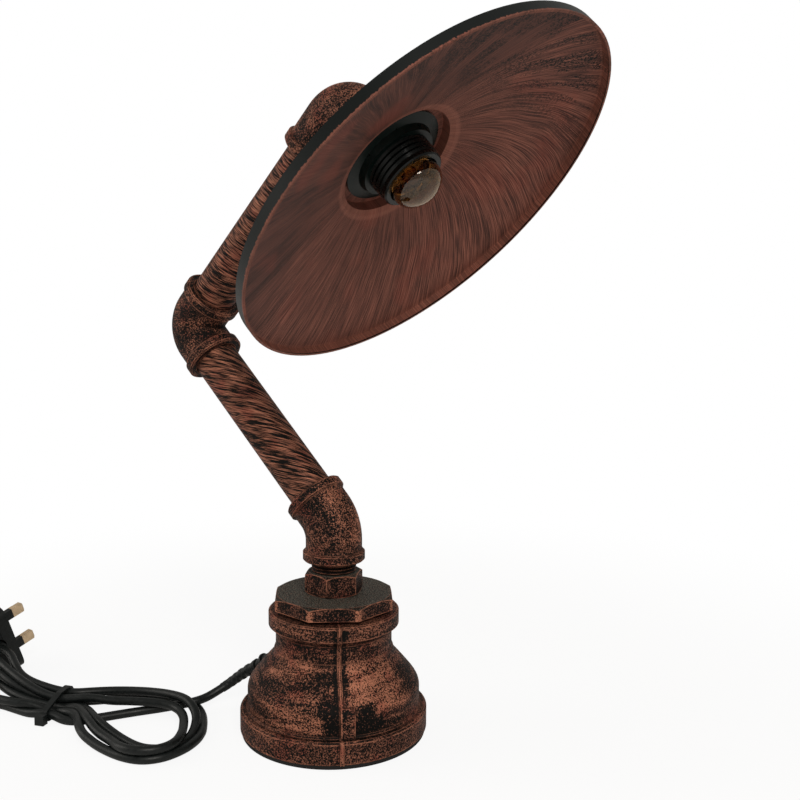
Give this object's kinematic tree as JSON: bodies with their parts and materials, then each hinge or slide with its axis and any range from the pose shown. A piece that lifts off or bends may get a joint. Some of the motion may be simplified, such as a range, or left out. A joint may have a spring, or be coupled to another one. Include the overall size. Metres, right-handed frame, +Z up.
{
  "type": "industrial pipe table lamp",
  "caption": "Table lamp of pipe fittings: round reducer base, swivelling jointed arm of pipe and elbows, wide dished shade, screw lampholder, bulb, coiled lead and mains plug.",
  "frame": {"origin": "centre of the base pad's underside, on the table", "axes": "+Z up along the base's axis, +X the way the shade faces, +Y to the left of that"},
  "size_m": [0.4264, 0.2352, 0.3944],
  "materials": {
    "cast_fitting": "black paint dry-brushed with copper, grainy, satin",
    "dark_fitting": "black paint with a trace of copper, satin",
    "steel_pipe": "black paint with copper brush streaks, satin",
    "shade_steel": "black outside, copper brushed over reddish brown inside, satin",
    "rubber_pad": "matt black",
    "plain_steel": "plain zinc plated",
    "black_plastic": "moulded black, satin",
    "cord_sheath": "soft black PVC, satin",
    "pin_brass": "plain brass, satin",
    "fuse_ceramic": "white, glazed",
    "holder_plastic": "moulded black, semi-gloss",
    "ring_plastic": "moulded dark grey, semi-gloss",
    "holder_ceramic": "white, unglazed",
    "brown_core": "PVC insulation",
    "blue_core": "PVC insulation",
    "bulb_insulator": "black glass",
    "bulb_cap_metal": "bright nickel",
    "bulb_glass": "clear amber, polished",
    "wire_metal": "fine wire"
  },
  "bodies": {
    "base": {"base_reducer": "cast_fitting", "base_pad": "rubber_pad", "base_plate": "plain_steel", "base_plate_screws": "plain_steel", "cord_gland": "black_plastic", "reducing_bush": "dark_fitting", "hex_nipple": "dark_fitting", "base_flex": "cord_sheath", "power_cord": "cord_sheath", "cord_hank": "cord_sheath", "cable_tie": "black_plastic", "plug_lead": "cord_sheath", "plug_body": "black_plastic", "plug_front": "black_plastic", "plug_boot": "black_plastic", "line_pins": "pin_brass", "pin_sleeves": "black_plastic", "earth_pin": "pin_brass", "plug_fuse": "fuse_ceramic"},
    "lower_arm": {"lower_elbow": "cast_fitting", "lower_pipe": "steel_pipe", "lower_flex": "cord_sheath"},
    "upper_arm": {"middle_elbow": "cast_fitting", "upper_pipe": "steel_pipe", "upper_flex": "cord_sheath"},
    "head": {"head_elbow": "cast_fitting", "head_flex": "cord_sheath", "holder_adaptor": "dark_fitting", "holder_tube": "plain_steel", "tube_nut": "plain_steel", "holder_cap": "holder_plastic", "contact_block": "holder_ceramic", "holder_body": "holder_plastic", "screw_shell": "pin_brass", "centre_contact": "pin_brass", "terminal_screws": "pin_brass", "shade_ring": "ring_plastic", "shade": "shade_steel", "live_core": "brown_core", "neutral_core": "blue_core"},
    "bulb": {"bulb_contact": "pin_brass", "bulb_insulator": "bulb_insulator", "bulb_cap": "bulb_cap_metal", "bulb_glass": "bulb_glass", "bulb_stem": "bulb_glass", "bulb_supports": "wire_metal", "bulb_filament": "wire_metal"}
  },
  "joints": [
    {"name": "arm_swivel", "type": "hinge", "parent": "base", "child": "lower_arm", "pos_m": [0, 0, 0.1125], "axis": [0, 0, 1], "range_deg": [-150, 150]},
    {"name": "middle_swivel", "type": "hinge", "parent": "lower_arm", "child": "upper_arm", "pos_m": [-0.11278, 0, 0.23778], "axis": [-0.7071, 0, 0.7071], "range_deg": [-60, 60]},
    {"name": "head_swivel", "type": "hinge", "parent": "upper_arm", "child": "head", "pos_m": [0.01316, -0.0056, 0.36373], "axis": [0.7068, -0.0314, 0.7068], "range_deg": [-90, 90]},
    {"name": "bulb_unscrew", "type": "slide", "parent": "head", "child": "bulb", "axis": [0.7071, 0, -0.7071], "range_m": [0, 0.035]}
  ]
}
